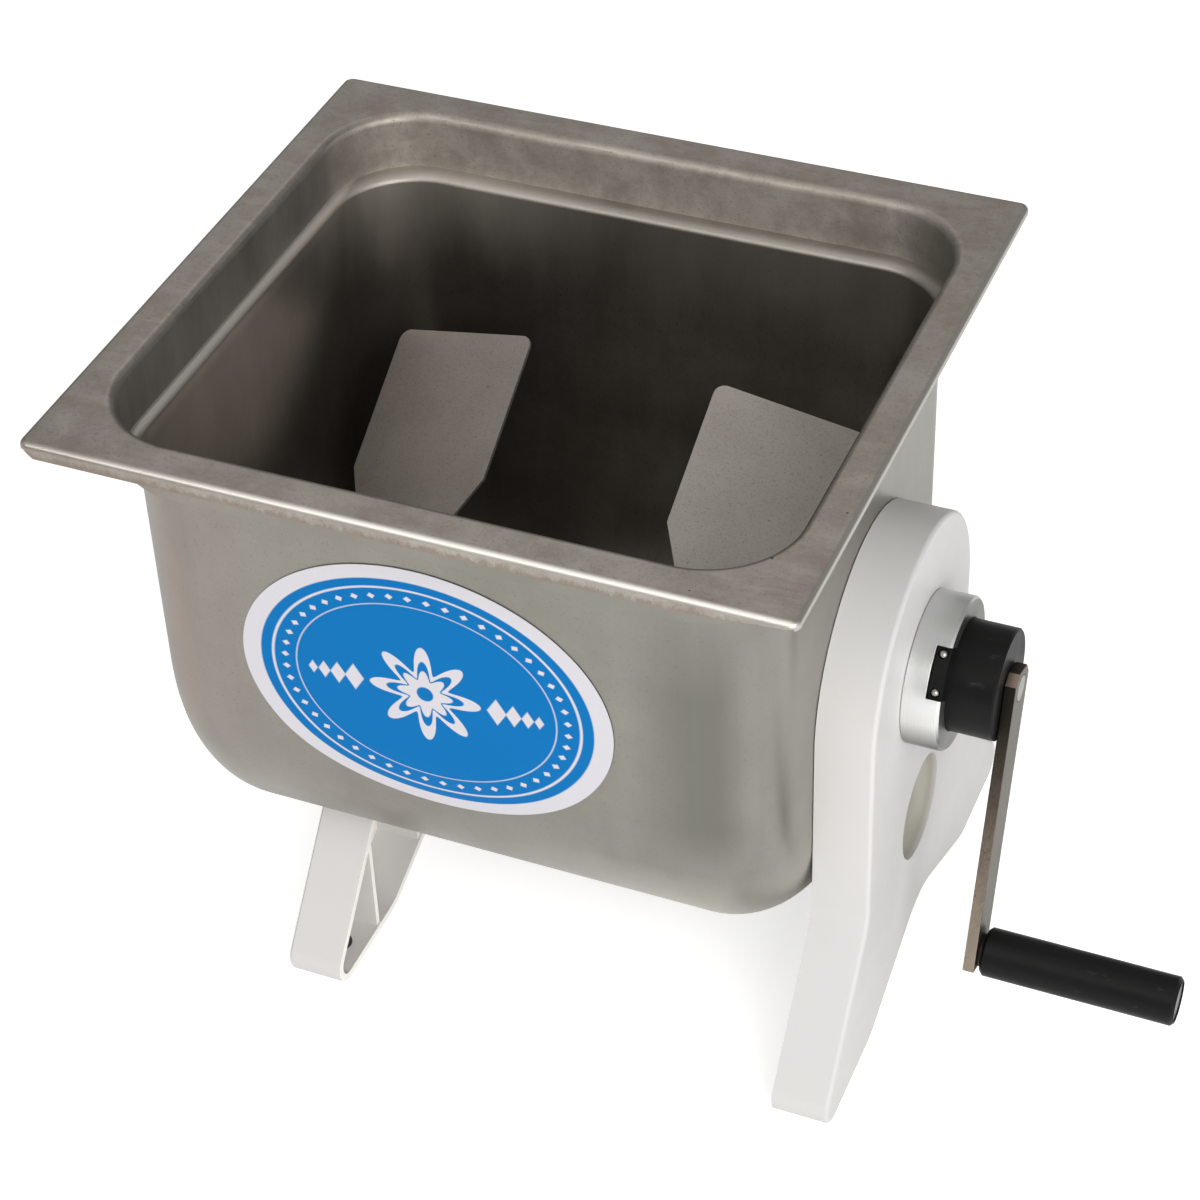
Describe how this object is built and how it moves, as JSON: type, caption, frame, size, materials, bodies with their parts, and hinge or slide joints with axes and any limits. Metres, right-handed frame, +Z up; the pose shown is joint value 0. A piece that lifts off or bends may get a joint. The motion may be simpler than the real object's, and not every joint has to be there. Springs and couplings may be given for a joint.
{
  "type": "butter churn",
  "caption": "Hand-cranked butter churn: open steel tank on moulded plastic legs, with a side crank, a pull-out bearing plug and a paddle shaft.",
  "frame": {"origin": "on the floor, under the middle of the whole churn's bounding box", "axes": "+X along the crank shaft from the tank towards the crank, +Y from the labelled front to the back, +Z up"},
  "size_m": [0.5002, 0.325, 0.34],
  "materials": {
    "satin_steel": "satin, lightly mottled",
    "blasted_steel": "bead blasted",
    "arm_steel": "satin",
    "turned_aluminium": "turned, satin",
    "white_plastic": "moulded, satin",
    "black_plastic": "turned, matte",
    "dark_rubber": "matte",
    "silicone": "translucent",
    "bush_plastic": "machined",
    "label_film": "printed film"
  },
  "bodies": {
    "frame": {"tank": "satin_steel", "front_label": "label_film", "right_stand": "white_plastic", "left_leg": "white_plastic", "foot_pad_left_front": "dark_rubber", "foot_pad_left_rear": "dark_rubber", "foot_pad_right_front": "dark_rubber", "foot_pad_right_rear": "dark_rubber", "bearing_housing": "turned_aluminium", "housing_nut": "satin_steel", "wall_gasket": "silicone", "shaft_seal": "dark_rubber", "left_pivot_pin": "satin_steel", "locating_pin_front": "satin_steel", "locating_pin_rear": "satin_steel", "leg_stud_front": "satin_steel", "leg_stud_rear": "satin_steel", "leg_washer_front": "satin_steel", "leg_washer_rear": "satin_steel", "leg_nut_front": "satin_steel", "leg_nut_rear": "satin_steel"},
    "plug": {"bearing_plug": "black_plastic", "detent_ball_upper": "satin_steel", "detent_ball_lower": "satin_steel"},
    "crank": {"crank_shaft": "satin_steel", "crank_arm": "arm_steel", "grip_axle": "turned_aluminium", "grip_washer": "satin_steel"},
    "grip": {"grip_sleeve": "black_plastic"},
    "rotor": {"paddle_shaft": "satin_steel", "paddle_left": "blasted_steel", "paddle_right": "blasted_steel", "left_bush": "bush_plastic"}
  },
  "joints": [
    {"name": "plug_slide", "type": "slide", "parent": "frame", "child": "plug", "axis": [1, 0, 0], "range_m": [0, 0.022]},
    {"name": "crank_turn", "type": "hinge", "parent": "plug", "child": "crank", "pos_m": [0.1498, 0, 0.189], "axis": [1, 0, 0], "continuous": true},
    {"name": "grip_spin", "type": "hinge", "parent": "crank", "child": "grip", "pos_m": [0.2036, -0.04026, 0.05732], "axis": [1, 0, 0], "continuous": true},
    {"name": "rotor_turn", "type": "hinge", "parent": "frame", "child": "rotor", "pos_m": [-0.0731, 0, 0.189], "axis": [1, 0, 0], "continuous": true}
  ],
  "couplings": [
    {"joint": "rotor_turn", "follows": "crank_turn", "ratio": 1}
  ]
}
